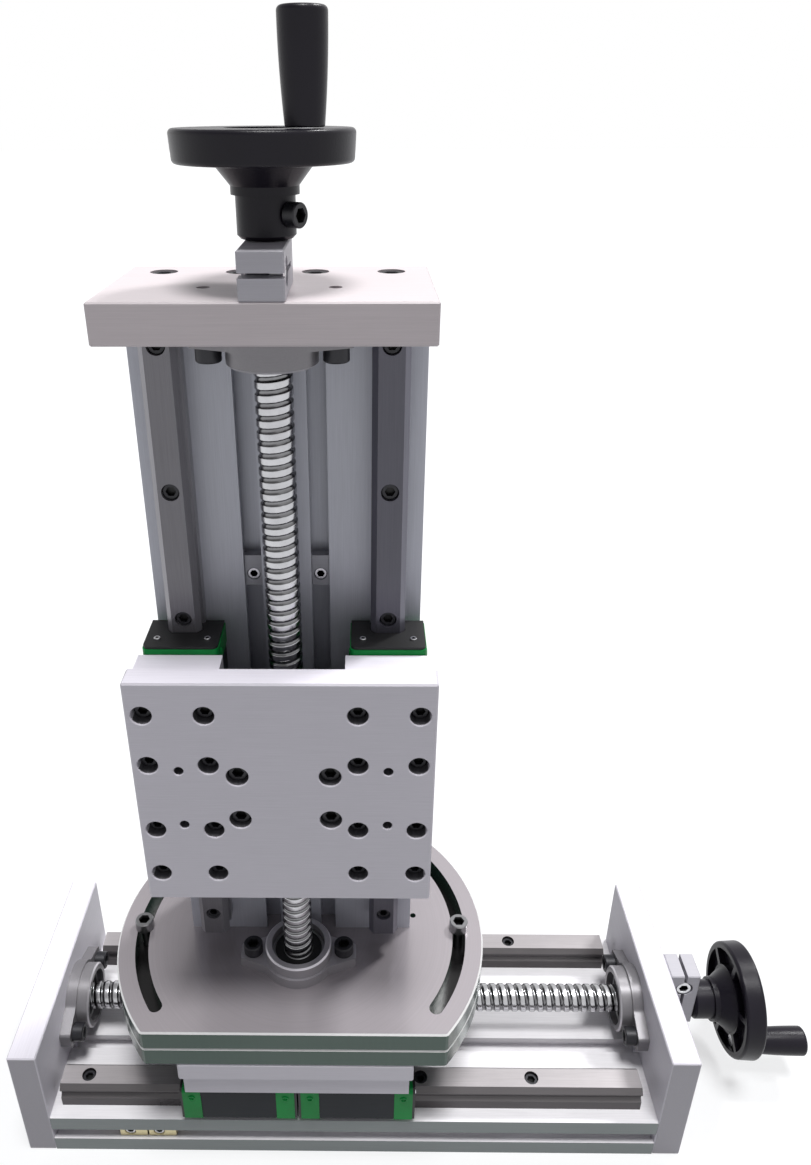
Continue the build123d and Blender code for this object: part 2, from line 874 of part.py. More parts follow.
def disc_blank(plane, thickness):
    """Round plate with two flats, its long way along X."""
    with BuildSketch(plane) as blank:
        Circle(disc_radius)
        Rectangle(2 * disc_radius, 2 * disc_flat, mode=Mode.INTERSECT)
    extrude(blank.sketch, amount=thickness)


def build_swivel():
    """Two flat-sided discs on one pivot: the lower on the slide plate, the upper with arc slots."""
    lower = Plane(origin=(swivel_x, 0, face_height))
    middle = Plane(origin=(swivel_x, 0, lower_disc_top))
    upper = Plane(origin=(swivel_x, 0, upper_disc_top))
    clamps = [(-arc_slot_radius, 0), (arc_slot_radius, 0)]
    plate_bolts = grid(tapped_spacing_along, tapped_spacing_across)
    clamp_hole_depth = clamp_screw_length - disc_thickness
    slot_arc = CenterArc((0, 0), arc_slot_radius, -arc_slot_half_angle, 2 * arc_slot_half_angle)
    with BuildPart() as lower_disc:
        disc_blank(lower, disc_thickness)
        chamfer(lower_disc.edges(), disc_edge)
        cut_holes(middle, [(0, 0)], pivot_radius + running_gap, disc_thickness)
        cut_holes(middle, plate_bolts, m5.clearance_radius, disc_thickness)
        cut_holes(middle, plate_bolts, nut_sink_radius, disc_screw_sink)
        cut_holes(middle, clamps, m6.core / 2, clamp_hole_depth)
    save(lower_disc, "swivel_lower_disc")

    with BuildPart() as disc_screws:
        add_screws(middle.offset(-disc_screw_sink), plate_bolts, m5, disc_screw_length)
    save(disc_screws, "swivel_disc_screws")

    with BuildPart() as pivot:
        with BuildSketch(lower):
            Circle(pivot_radius)
        extrude(amount=2 * disc_thickness - pivot_top_gap)
    save(pivot, "swivel_pivot")

    foot = column.across(0)
    underside = Plane(
        origin=foot.from_local_coords(Vector(0, 0, -disc_thickness + swivel_gap)),
        x_dir=-foot.x_dir,
        z_dir=-foot.z_dir,
    )
    with BuildPart() as upper_disc:
        disc_blank(middle.offset(swivel_gap), disc_thickness - swivel_gap)
        chamfer(upper_disc.edges(), disc_edge)
        with BuildSketch(upper):
            with PolarLocations(0, 2):
                SlotArc(slot_arc, arc_slot_width)
        extrude(amount=-disc_thickness, mode=Mode.SUBTRACT)
        cut_holes(upper, [(0, 0)], pivot_radius + running_gap, disc_thickness)
        cut_holes(foot, flange_bolts(), m6.core / 2, disc_thickness)
        cut_holes(underside, end_row(), m6.clearance_radius, disc_thickness)
        cut_holes(underside, end_row(), end_screw_sink_radius, end_screw_sink)
        marker_x = module_width / 2 + marker_hole_across
        cut_holes(upper, [(marker_x, marker_hole_along)], marker_hole_radius, disc_thickness / 2)
    save(upper_disc, "swivel_upper_disc")

    with BuildPart() as foot_screws:
        add_screws(underside.offset(-end_screw_sink), end_row(), m6, end_screw_length)
    save(foot_screws, "column_foot_screws")

    with BuildPart() as clamp_screws:
        add_screws(upper.offset(swivel_gap), clamps, m6, clamp_screw_length)
    save(clamp_screws, "swivel_clamp_screws")


def build_module(module, flange_labels):
    """Everything that the base and the column have alike."""
    build_profile(module)
    build_rails(module)
    build_flanges(module, flange_labels)
    build_lock(module)
    build_runners(module)
    build_carriage(module)
    build_nut(module)
    build_screw(module)
    build_handwheel(module)
    build_handle(module)


os.makedirs("parts", exist_ok=True)
build_module(base, ("left", "right"))
build_module(column, ("lower", "upper"))

left = build_end_plate(base, 0, "x_end_plate_left", drive=False)
right = build_end_plate(base, base.length, "x_end_plate_right", drive=True)
build_end_screws((left, right), "x_end_plate_screws")
top = build_end_plate(column, column.length, "z_end_plate", drive=True)
build_end_screws((top,), "z_end_plate_screws")

base_front = Plane(
    origin=(-base_length / 2, -module_width / 2, side_slot_height), x_dir=(1, 0, 0), z_dir=(0, -1, 0)
)
half_step = (nut_length + nut_gap) / 2
build_slot_nuts(
    "x_slot_nuts",
    [
        Plane(
            origin=base_front.from_local_coords(Vector(base_nuts_at + step, 0, 0)),
            x_dir=base_front.x_dir,
            z_dir=base_front.z_dir,
        )
        for step in (-half_step, half_step)
    ],
)
build_slot_nuts(
    "z_slot_nuts",
    [
        Plane(
            origin=column.frame.from_local_coords(
                Vector(column_nuts_at, side * channel_slot_spacing / 2, seat_height)
            ),
            x_dir=column.frame.x_dir,
            z_dir=column.frame.z_dir,
        )
        for side in (-1, 1)
    ],
)
build_swivel()
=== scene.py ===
import math

import bpy
import numpy as np
from mathutils import Matrix, Vector


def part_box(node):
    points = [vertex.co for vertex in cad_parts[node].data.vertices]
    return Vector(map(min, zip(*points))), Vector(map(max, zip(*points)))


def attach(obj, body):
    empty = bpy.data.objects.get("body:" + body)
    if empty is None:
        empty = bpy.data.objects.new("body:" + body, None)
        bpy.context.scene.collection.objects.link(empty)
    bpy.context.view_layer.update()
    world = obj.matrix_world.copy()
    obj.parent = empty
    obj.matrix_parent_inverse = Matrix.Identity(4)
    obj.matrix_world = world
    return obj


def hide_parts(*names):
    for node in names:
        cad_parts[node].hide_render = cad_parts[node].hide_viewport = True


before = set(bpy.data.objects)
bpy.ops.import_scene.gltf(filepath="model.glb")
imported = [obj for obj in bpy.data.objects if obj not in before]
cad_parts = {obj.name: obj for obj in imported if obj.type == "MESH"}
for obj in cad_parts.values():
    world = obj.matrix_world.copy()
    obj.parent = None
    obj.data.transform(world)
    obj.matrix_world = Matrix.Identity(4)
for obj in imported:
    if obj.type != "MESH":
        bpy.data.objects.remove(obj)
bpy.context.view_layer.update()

MM = 0.001
X, Y, Z = np.eye(3)

# The photograph's frame, and the camera found from it.
IMAGE_WIDTH, IMAGE_HEIGHT = 811, 1165
FOCAL_LENGTH_PX = 907.74
PRINCIPAL_POINT_PX = (354.04, 565.21)
CAMERA_PLACE = np.array([5.42, -358.52, 512.02]) * MM
CAMERA_PITCH_DOWN = math.radians(26.908)
CAMERA_YAW = math.radians(-0.709)
CAMERA_ROLL_DEGREES = 0.224
SENSOR_MM = 36.0
CLIP_NEAR, CLIP_FAR = 0.02, 50.0

# Ball screw: sizes across and along its axis.
SCREW_LEAD = 5.0 * MM
THREAD_RADIUS = 7.5 * MM
JOURNAL_RADIUS = 6.0 * MM
TAIL_RADIUS = 5.0 * MM
BALL_GROOVE_RADIUS = 1.3 * MM
BALL_GROOVE_DEPTH = 0.8 * MM
LAND_CROWN = 0.1 * MM
JOURNAL_LENGTH = 8.05 * MM
DRIVE_JOURNAL_LENGTH = 23.05 * MM
TAIL_LENGTH = 46.0 * MM
ROWS_PER_LEAD = 16
SCREW_SEGMENTS = 40
THREAD_RUN_OUT = 3.0 * MM
SCREW_SMOOTH_DEGREES = 40

# Floor and light levels.
FLOOR_HALF_WIDTH = 12.0
FLOOR_COLOUR = (0.33, 0.335, 0.34)
FLOOR_LIFT = 0.62
SKY_LIGHT = (0.27, 0.27, 0.285)
OVERHEAD_STRENGTH = 2.7
OVERHEAD_SPREAD_DEGREES = 18
OVERHEAD_TRAVEL = (-0.05, 0.12, -1.0)
WINDOW_STRENGTH = 1.8
WINDOW_SPREAD_DEGREES = 10
WINDOW_TRAVEL = (-0.55, -0.5, -1.0)
SKY_SHOWN = [(0.0, 1.0), (0.2, 1.0), (0.5, 0.45), (1.0, 0.5)]
WALL_TURNS_WHITE = (-0.12, 0.06)

# Set screws of the slot nuts: the floors of their holes, and their sizes.
BASE_SET_SCREWS = [(-121.35, -55.9, 13.5), (-105.65, -55.9, 13.5)]
COLUMN_SET_SCREWS = [(-44.0, 4.6, 324.5), (-14.0, 4.6, 324.5)]
SET_SCREW_RADIUS = 2.9 * MM
SET_SCREW_HEIGHT = 1.8 * MM
SET_SCREW_SOCKET = 3.0 * MM

# Small screws of the end seals and plugs of the end caps.
SEAL_SCREW_RADIUS = 1.5 * MM
SEAL_SCREW_HEIGHT = 0.7 * MM
SEAL_SCREW_SOCKET = 1.3 * MM
SEAL_SCREW_SPREAD_SHARE = 0.34
SEAL_SCREW_RISE_SHARE = 0.2
CAP_PLUG_RADIUS = 1.8 * MM
CAP_PLUG_HEIGHT = 0.5 * MM
CAP_PLUG_SOCKET = 2.2 * MM
CAP_PLUG_RISE_SHARE = 0.22

# End seals whose middles lie nearer than this across the rails are on the same rail.
SAME_RAIL = 1.0 * MM

# Socket head cap screws, as shares of the head, and their tips, as shares of the shank.
SOCKET_WIDTH_SHARE = 0.53
SOCKET_DEPTH_SHARE = 0.6
SOCKET_MOUTH_SHARE = 1.04
HEAD_BEVEL_SHARE = 0.09
TIP_RADIUS_SHARE = 0.8
TIP_LENGTH_SHARE = 0.2
SCREW_HEAD_SEGMENTS = 36

# Studs: the chamfer as a share of the radius, and the socket's depth as one of its width.
STUD_CHAMFER_SHARE = 0.12
STUD_SOCKET_DEPTH_SHARE = 0.6

# CAD points are one point where they round to the same step.
STEPS_PER_METRE = 1e6

# How near two measures of a CAD screw lie when they are the same.
SAME_HEIGHT = 0.01 * MM
SAME_RADIUS = 0.02 * MM
SAME_SHANK = 0.1 * MM

# The clamp screws of the wheels: how far each is turned round its wheel's axis.
BASE_CLAMP_DEGREES = -27
COLUMN_CLAMP_DEGREES = 145

# Ball bearings, as shares of the width between bore and rim, and of half the length.
RING_WALL_SHARE = 0.22
RING_EDGE_SHARE = 0.05
SEAL_SETBACK_SHARE = 0.14
RING_SEGMENTS = 48

# Textures: marks to the metre.
LINES_ACROSS = 2400.0
LINES_ALONG = 40.0
METAL_CLOUDS = 14.0
PLASTIC_CLOUDS = 30.0
DISC_CLOUDS = 11.0
SCREW_CLOUDS = 160.0
TURNING_RINGS = 900.0

# The values that nearly all of a noise lies between.
NOISE_LOW, NOISE_HIGH = 0.3, 0.7

# How strong and how deep the reliefs of the textures are.
LINE_RELIEF = (0.08, 0.03 * MM)
RING_RELIEF = (0.04, 0.02 * MM)
SCREW_RELIEF = (0.12, 0.2 * MM)
GRAIN_DEPTH = 0.2 * MM


# Meshes, worked out as whole arrays


def unit(vector):
    """The vector at length one."""
    vector = np.asarray(vector, float)
    return vector / np.linalg.norm(vector)


def box_of(node):
    """The lowest and the highest corner of a CAD node's box."""
    low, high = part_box(node)
    return np.array(low), np.array(high)


def middle_of(node):
    """The middle of a CAD node's box."""
    low, high = box_of(node)
    return (low + high) / 2


def side_of(axis):
    """A unit vector square to the axis."""
    axis = unit(axis)
    guide = X if abs(axis[0]) < 0.9 else Y
    return unit(guide - axis * (guide @ axis))


def add_mesh(name, points, faces, sharp_degrees=30.0):
    """An object whose mesh holds the points and faces, smooth but for edges sharper than the angle."""
    mesh = bpy.data.meshes.new(name)
    mesh.from_pydata(np.asarray(points).tolist(), [], list(faces))
    mesh.validate()
    mesh.polygons.foreach_set("use_smooth", np.ones(len(mesh.polygons), bool))
    mesh.set_sharp_from_angle(angle=math.radians(sharp_degrees))
    piece = bpy.data.objects.new(name, mesh)
    bpy.context.scene.collection.objects.link(piece)
    return piece


def ring_faces(rings, segments):
    """Quads between neighbouring rings of points, each ring closed on itself."""
    row, column = np.meshgrid(np.arange(rings - 1), np.arange(segments), indexing="ij")
    following = (column + 1) % segments
    corners = [
        row * segments + column,
        row * segments + following,
        (row + 1) * segments + following,
        (row + 1) * segments + column,
    ]
    return np.stack(corners, axis=-1).reshape(-1, 4)


def closed_tube(radii, along, origin, axis):
    """Skin of a body round an axis, with both its ends closed by a fan.

    radii[i, j] is the radius in ring i at angle j, and along[i] the ring's place on the axis:
    the point is origin + axis * along + radius * (side * cos(angle) + other * sin(angle)).
    """
    axis = unit(axis)
    side = side_of(axis)
    other = np.cross(axis, side)
    rings, segments = radii.shape
    angles = np.linspace(0, 2 * np.pi, segments, endpoint=False)
    spokes = np.cos(angles)[:, None] * side + np.sin(angles)[:, None] * other
    skin = origin + along[:, None, None] * axis + radii[:, :, None] * spokes
    points = np.vstack([skin.reshape(-1, 3), origin + along[0] * axis, origin + along[-1] * axis])
    low_centre, high_centre = rings * segments, rings * segments + 1
    first = np.arange(segments)
    following = (first + 1) % segments
    last = first + (rings - 1) * segments
    low_fan = np.stack([np.full(segments, low_centre), following, first], axis=-1)
    high_fan = np.stack(
        [np.full(segments, high_centre), last, following + (rings - 1) * segments], axis=-1
    )
    faces = ring_faces(rings, segments).tolist() + low_fan.tolist() + high_fan.tolist()
    return points, faces


def revolved(profile, origin, axis):
    """Closed body round an axis, from pairs of a ring's radii and its place along the axis."""
    radii = np.array([ring for ring, _ in profile])
    stations = np.array([place for _, place in profile])
    return closed_tube(radii, stations, origin, axis)


def joined(parts):
    """Several (points, faces) pairs as one pair."""
    points, faces, start = [], [], 0
    for some_points, some_faces in parts:
        points.append(some_points)
        faces += [[corner + start for corner in face] for face in some_faces]
        start += len(some_points)
    return np.vstack(points), faces


def add_joined(name, parts):
    """One object from several (points, faces) pairs."""
    return add_mesh(name, *joined(parts))


def solids_of(node):
    """The separate solids of a CAD node, each as an array of its points.

    Points at one place are one point. Every point then takes the lowest label among the triangles
    round it, again and again, until each solid holds a single label.
    """
    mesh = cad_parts[node].data
    mesh.calc_loop_triangles()
    places = np.empty(len(mesh.vertices) * 3)
    mesh.vertices.foreach_get("co", places)
    triangles = np.empty(len(mesh.loop_triangles) * 3, int)
    mesh.loop_triangles.foreach_get("vertices", triangles)
    rounded = np.round(places.reshape(-1, 3) * STEPS_PER_METRE).astype(int)
    _, first, same = np.unique(rounded, axis=0, return_index=True, return_inverse=True)
    same = same.ravel()
    corners = same[triangles].reshape(-1, 3)
    labels = np.arange(len(first))
    while True:
        lowest = labels[corners].min(axis=1)
        spread = labels.copy()
        for column in range(3):
            np.minimum.at(spread, corners[:, column], lowest)
        if (spread == labels).all():
            break
        labels = spread
    own = places.reshape(-1, 3)[first]
    return [own[labels == label] for label in np.unique(labels)]


def dress(piece, body, slot, material, *nodes):
    """Put the material on a piece, let it ride on a body and stand for the CAD nodes named."""
    piece.data.materials.clear()
    piece.data.materials.append(material)
    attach(piece, body)
    if nodes:
        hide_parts(*nodes)
    return piece


# Materials


def principled(name):
    """A material with its shader node and its node tree."""
    material = bpy.data.materials.new(name)
    material.use_nodes = True
    tree = material.node_tree
    return material, tree, tree.nodes["Principled BSDF"]


def object_coordinates(tree, scale, centre=(0, 0, 0)):
    """Object coordinates measured from a centre and stretched along each axis."""
    coordinates = tree.nodes.new("ShaderNodeTexCoord")
    mapping = tree.nodes.new("ShaderNodeMapping")
    mapping.inputs["Scale"].default_value = scale
    mapping.inputs["Location"].default_value = [-c * s for c, s in zip(centre, scale)]
    tree.links.new(coordinates.outputs["Object"], mapping.inputs["Vector"])
    return mapping.outputs["Vector"]


def noise(tree, vector, scale, detail, roughness):
    """Noise texture on a vector; returns its value socket."""
    node = tree.nodes.new("ShaderNodeTexNoise")
    node.inputs["Scale"].default_value = scale
    node.inputs["Detail"].default_value = detail
    node.inputs["Roughness"].default_value = roughness
    tree.links.new(vector, node.inputs["Vector"])
    return node.outputs["Fac"]


def greys(*stops):
    """Stops of a ramp in greys, from pairs of a place and a level."""
    return [(place, (level,) * 3) for place, level in stops]


def ramp(tree, value, low, high, stops):
    """Colours spread over a value's stretch from low to high."""
    spread = tree.nodes.new("ShaderNodeMapRange")
    spread.inputs["From Min"].default_value = low
    spread.inputs["From Max"].default_value = high
    tree.links.new(value, spread.inputs["Value"])
    colours = tree.nodes.new("ShaderNodeValToRGB")
    elements = colours.color_ramp.elements
    elements.remove(elements[1])
    for number, (place, colour) in enumerate(stops):
        element = elements.new(place) if number else elements[0]
        element.position = place
        element.color = (*colour, 1.0)
    tree.links.new(spread.outputs["Result"], colours.inputs["Fac"])
    return colours.outputs["Color"]


def noise_ramp(tree, value, stops):
    """Colours spread over the values that a noise has."""
    return ramp(tree, value, NOISE_LOW, NOISE_HIGH, stops)


def vector_math(tree, operation, vector, constant=None):
    """Vector Math node on a vector, with a constant as its second one where it takes two."""
    node = tree.nodes.new("ShaderNodeVectorMath")
    node.operation = operation
    tree.links.new(vector, node.inputs[0])
    if constant is not None:
        node.inputs[1].default_value = constant
    return node


def value_math(tree, operation, first, second=None):
    """Result of a Math node on a value and, where it takes two, another value or a number."""
    node = tree.nodes.new("ShaderNodeMath")
    node.operation = operation
    tree.links.new(first, node.inputs[0])
    if isinstance(second, (int, float)):
        node.inputs[1].default_value = second
    elif second is not None:
        tree.links.new(second, node.inputs[1])
    return node.outputs["Value"]


def multiply(tree, first, second):
    """The first colour times the second, channel by channel."""
    mix = tree.nodes.new("ShaderNodeMix")
    mix.data_type = "RGBA"
    mix.blend_type = "MULTIPLY"
    mix.inputs["Factor"].default_value = 1.0
    tree.links.new(first, mix.inputs[6])
    tree.links.new(second, mix.inputs[7])
    return mix.outputs[2]


def spread_value(tree, value, low, high):
    """A value between 0 and 1 stretched to lie between low and high."""
    spread = tree.nodes.new("ShaderNodeMapRange")
    spread.inputs["To Min"].default_value = low
    spread.inputs["To Max"].default_value = high
    tree.links.new(value, spread.inputs["Value"])
    return spread.outputs["Result"]


def bump(tree, shader, height, strength, distance):
    """Small relief on the shader from a height value."""
    node = tree.nodes.new("ShaderNodeBump")
    node.inputs["Strength"].default_value = strength
    node.inputs["Distance"].default_value = distance
    tree.links.new(height, node.inputs["Height"])
    tree.links.new(node.outputs["Normal"], shader.inputs["Normal"])


def clouded_roughness(tree, shader, clouds, smoothest, roughest):
    """Roughness that follows the clouding of the surface."""
    tree.links.new(spread_value(tree, clouds, smoothest, roughest), shader.inputs["Roughness"])


def shade(colour, factor):
    """The colour made darker or lighter."""
    return tuple(min(1.0, c * factor) for c in colour)


def lay_scale(lay):
    """Texture scale that is coarse along the lay and fine across it, so that lines run along it."""
    return tuple(LINES_ALONG if along else LINES_ACROSS for along in np.abs(lay) > 0.5)


def facing(tree, direction):
    """One on faces that look along a direction, falling to nought on those that stand across it."""
    coordinates = tree.nodes.new("ShaderNodeTexCoord")
    return vector_math(tree, "DOT_PRODUCT", coordinates.outputs["Normal"], direction).outputs["Value"]


def beyond(tree, axis, distance):
    """One farther than a distance from the middle plane across an axis, and nought nearer to it."""
    coordinates = tree.nodes.new("ShaderNodeTexCoord")
    along = vector_math(tree, "DOT_PRODUCT", coordinates.outputs["Object"], axis).outputs["Value"]
    return value_math(tree, "GREATER_THAN", value_math(tree, "ABSOLUTE", along), distance)


def inside_box(tree, centre, half):
    """One inside a box given by its centre and half sizes, and nought outside it."""
    from_centre = object_coordinates(tree, [1 / size for size in half], centre)
    parts = tree.nodes.new("ShaderNodeSeparateXYZ")
    away = vector_math(tree, "ABSOLUTE", from_centre)
    tree.links.new(away.outputs["Vector"], parts.inputs["Vector"])
    farthest = parts.outputs["X"]
    for part in ("Y", "Z"):
        farthest = value_math(tree, "MAXIMUM", farthest, parts.outputs[part])
    return value_math(tree, "LESS_THAN", farthest, 1.0)


def painted_bore_shade(tree, surface, node, skin):
    """Painted shade: the surface colour darkened on the walls of a plate's bores, which lie deeper than
    the skin.
    """
    low, high = box_of(node)
    inside = inside_box(tree, (low + high) / 2, (high - low) / 2 - skin)
    return multiply(tree, surface, ramp(tree, inside, 0.0, 1.0, greys((0.0, 1.0), (1.0, BORE_SHADE))))


def painted_socket_shade(tree, surface):
    """Painted shade: the surface colour falling to black at the floors of the screws' sockets."""
    depth = tree.nodes.new("ShaderNodeAttribute")
    depth.attribute_name = "socket"
    socket_shade_ramp = ramp(tree, depth.outputs["Fac"], 0.0, 1.0, greys((0.0, 1.0), (0.7, 0.02)))
    return multiply(tree, surface, socket_shade_ramp)


def metal(
    name, colour, lay, metallic, roughness, line_strength=0.05, mottle=0.06,
    faces=(), outer=None, gloss=0.5, shaded_bores=None,
):
    """Worked metal: fine lines along one direction, soft clouding, and slight relief.

    faces lists directions, each with the shares of the colour that surfaces have at steps of
    facing it, which paint light and shade on them. outer is an axis and a distance: the last of
    those shares holds only beyond it.
    The last argument is a plate's node and how deep in its skin the painted shade on the walls of its
    bores begins.
    """
    material, tree, shader = principled(name)
    shader.inputs["Metallic"].default_value = metallic
    shader.inputs["Specular IOR Level"].default_value = gloss
    lines = noise(tree, object_coordinates(tree, lay_scale(lay)), 1.0, 4.0, 0.7)
    clouds = noise(tree, object_coordinates(tree, (1, 1, 1)), METAL_CLOUDS, 4.0, 0.6)
    dark, light = shade(colour, 1 - line_strength), shade(colour, 1 + line_strength)
    lined = noise_ramp(tree, lines, [(0.0, dark), (1.0, light)])
    clouded = noise_ramp(tree, clouds, greys((0.0, 1 - mottle), (1.0, 1.0)))
    surface = multiply(tree, lined, clouded)
    # Painted light and shade: each face's colour scaled by the way it looks.
    for direction, steps in faces:
        surface = multiply(tree, surface, ramp(tree, facing(tree, direction), 0.0, 1.0, steps))
    if outer:
        tree.links.new(beyond(tree, *outer), surface.node.inputs["Factor"])
    if shaded_bores:
        surface = painted_bore_shade(tree, surface, *shaded_bores)
    tree.links.new(painted_socket_shade(tree, surface), shader.inputs["Base Color"])
    clouded_roughness(tree, shader, clouds, roughness * 0.8, roughness * 1.25)
    bump(tree, shader, lines, *LINE_RELIEF)
    return material


def plastic(name, colour, roughness, grain_scale, relief, gloss):
    """Moulded plastic: fine grain, faint clouding and a sheen that varies a little."""
    material, tree, shader = principled(name)
    shader.inputs["Specular IOR Level"].default_value = gloss
    vector = object_coordinates(tree, (1, 1, 1))
    grain = noise(tree, vector, grain_scale, 2.0, 0.5)
    clouds = noise(tree, vector, PLASTIC_CLOUDS, 4.0, 0.6)
    clouded = noise_ramp(tree, clouds, [(0.0, shade(colour, 0.8)), (1.0, shade(colour, 1.25))])
    tree.links.new(painted_socket_shade(tree, clouded), shader.inputs["Base Color"])
    clouded_roughness(tree, shader, clouds, roughness * 0.85, roughness * 1.2)
    bump(tree, shader, grain, relief, GRAIN_DEPTH)
    return material


def turned_metal(name, colour, reflected_side_colour, centre, metallic, roughness, slot_shade_band=None):
    """Face-turned plate: faint rings round an upright axis, painted highlights on the chamfers and a
    painted dark reflection on the sides.

    The last argument gives the two distances from the axis between which the face is painted near black,
    as painted shade under the arc slots.
    """
    material, tree, shader = principled(name)
    flat = object_coordinates(tree, (1, 1, 0), centre)
    reach = vector_math(tree, "LENGTH", flat).outputs["Value"]
    rings = tree.nodes.new("ShaderNodeTexNoise")
    rings.noise_dimensions = "1D"
    rings.inputs["Scale"].default_value = TURNING_RINGS
    rings.inputs["Detail"].default_value = 3.0
    tree.links.new(reach, rings.inputs["W"])
    clouds = noise(tree, object_coordinates(tree, (1, 1, 1)), DISC_CLOUDS, 4.0, 0.6)
    ringed = noise_ramp(tree, rings.outputs["Fac"], greys((0.0, 0.96), (1.0, 1.0)))
    upward = facing(tree, Z)
    # Painted reflection on the sides, painted highlights on the chamfers, the face's own colour on top.
    steps = [(0.0, reflected_side_colour), (0.3, reflected_side_colour), *greys((0.45, 0.7), (0.9, 0.7)), (0.97, colour)]
    surface = multiply(tree, ramp(tree, upward, 0.0, 1.0, steps), ringed)
    polish = ramp(tree, upward, 0.0, 1.0, greys((0.9, 0.0), (0.97, 1.0)))
    if slot_shade_band:
        # Painted shade: the lower disc's face near black where the arc slots show it.
        slot_shade_ramp = greys((0.0, 1.0), (0.08, 0.03), (0.92, 0.03), (1.0, 1.0))
        surface = multiply(tree, surface, ramp(tree, reach, *slot_shade_band, slot_shade_ramp))
        tree.links.new(polish, surface.node.inputs["Factor"])
    tree.links.new(surface, shader.inputs["Base Color"])
    tree.links.new(spread_value(tree, polish, 0.2, metallic), shader.inputs["Metallic"])
    clouded_roughness(tree, shader, clouds, roughness * 0.8, roughness * 1.25)
    bump(tree, shader, rings.outputs["Fac"], *RING_RELIEF)
    return material


def screw_steel(name, colour, centre, flatten):
    """Rolled steel of the ball screw: bright lands and ball grooves darkened by painted shade, by
    distance from the axis.
    """
    material, tree, shader = principled(name)
    shader.inputs["Metallic"].default_value = 1.0
    across = object_coordinates(tree, flatten, centre)
    reach = vector_math(tree, "LENGTH", across).outputs["Value"]
    steps = [(place, shade(colour, level)) for place, level in GROOVE_SHADE_SHARES]
    depth = ramp(tree, reach, THREAD_RADIUS - BALL_GROOVE_DEPTH, THREAD_RADIUS, steps)
    clouds = noise(tree, object_coordinates(tree, (1, 1, 1)), SCREW_CLOUDS, 3.0, 0.6)
    clouded = noise_ramp(tree, clouds, greys((0.0, 0.8), (1.0, 1.0)))
    tree.links.new(multiply(tree, depth, clouded), shader.inputs["Base Color"])
    clouded_roughness(tree, shader, clouds, 0.12, 0.34)
    bump(tree, shader, clouds, *SCREW_RELIEF)
    return material


# Colours
PLATE_GREY = (0.62, 0.60, 0.655)
WARM_GREY = (0.595, 0.54, 0.555)
FLANGE_GREY = (0.22, 0.212, 0.225)
LOCK_GREY = (0.45, 0.44, 0.48)
SEAT_GREY = (0.84, 0.825, 0.85)
CHANNEL_GREY = (0.55, 0.56, 0.62)
CROWN_GREY = (0.41, 0.385, 0.395)
# Painted light and shade: both column rails are one steel, the left painted lighter and the right darker.
LEFT_RAIL_LIT_STEEL = (0.17, 0.165, 0.18)
RIGHT_RAIL_SHADED_STEEL = (0.095, 0.093, 0.115)
GROUND_STEEL = (0.45, 0.45, 0.46)
RUNNER_BLACK = (0.009, 0.012, 0.017)
BEARING_STEEL = (0.3, 0.3, 0.31)
NUT_STEEL = (0.30, 0.30, 0.33)
BRIGHT_ZINC = (0.6, 0.6, 0.62)
DULL_ZINC = (0.27, 0.27, 0.28)
YELLOW_ZINC = (0.62, 0.55, 0.33)
BLACK_OXIDE = (0.02, 0.02, 0.025)
CAP_GREEN = (0.003, 0.235, 0.045)
SEAL_BLACK = (0.012, 0.012, 0.013)
WHEEL_BLACK = (0.009, 0.0075, 0.0125)
SCREW_COLOUR = (0.55, 0.55, 0.57)
DISC_FACE = (0.385, 0.355, 0.375)
# Painted reflection: the dark green that the discs' sides mirror.
DISC_SIDE_REFLECTION = (0.032, 0.07, 0.052)
WHITE = (1.0, 1.0, 1.0)

# How surfaces are worked: how metallic and rough they are, and how strong their lines and clouds.
MILLED = {"metallic": 0.0, "roughness": 0.45}
TURNED = {"metallic": 0.35, "roughness": 0.32}
GROUND = {"roughness": 0.28, "line_strength": 0.1, "mottle": 0.12}
FACED = {"metallic": 0.3, "roughness": 0.2}

# Shares of the colour on faces from across a direction to along it: painted light and shade.
# Painted shade: the share of colour left on the base profile's outer flanks, slightly green.
FLANK_SHADE_SHARE = (0.27, 0.31, 0.30)
# Painted shade: the share of colour left on the X rail's flanks, dark brown-grey.
RAIL_FLANK_SHADE = (0.14, 0.13, 0.135)
# Painted shade: the base profile's outer flanks darker than its upward faces.
SHADED_PROFILE_FLANKS = [(0.0, FLANK_SHADE_SHARE), (0.4, FLANK_SHADE_SHARE), (0.75, WHITE)]
# Painted shade: the X rail's flanks and bevels darker than its crown.
SHADED_RAIL_FLANKS = [(0.0, RAIL_FLANK_SHADE), (0.3, RAIL_FLANK_SHADE), *greys((0.8, 0.35), (0.95, 1.0))]
# Painted highlights: the column rails' sides and bevels lighter than their front face.
PAINTED_EDGE_HIGHLIGHTS = greys((0.0, 1.5), (0.9, 1.9), (0.97, 1.0))
# Painted light: upward faces made a little lighter.
PAINTED_LIGHT_TOPS = greys((0.0, 1.0), (0.9, 1.0), (0.97, 1.16))
# Painted light: upward faces made much lighter.
STRONG_PAINTED_LIGHT_TOPS = greys((0.0, 1.0), (0.9, 1.0), (0.97, 1.38))
# Painted shade: faces that look forward made darker.
SHADED_FRONTS = greys((0.0, 1.0), (0.9, 1.0), (0.97, 0.62))
# Painted highlights: slanted chamfers of the flanges made much lighter.
CHAMFER_HIGHLIGHTS = greys((0.0, 1.0), (0.5, 1.0), (0.65, 2.4), (0.8, 2.4), (0.95, 1.0))
# Painted light and highlights: the lower flange lighter all over than the upper one, its chamfers and
# upward faces lighter still.
LIT_FLANGE_AND_CHAMFER_HIGHLIGHTS = greys((0.0, 1.5), (0.5, 1.5), (0.65, 3.8), (0.8, 3.8), (0.95, 2.4))

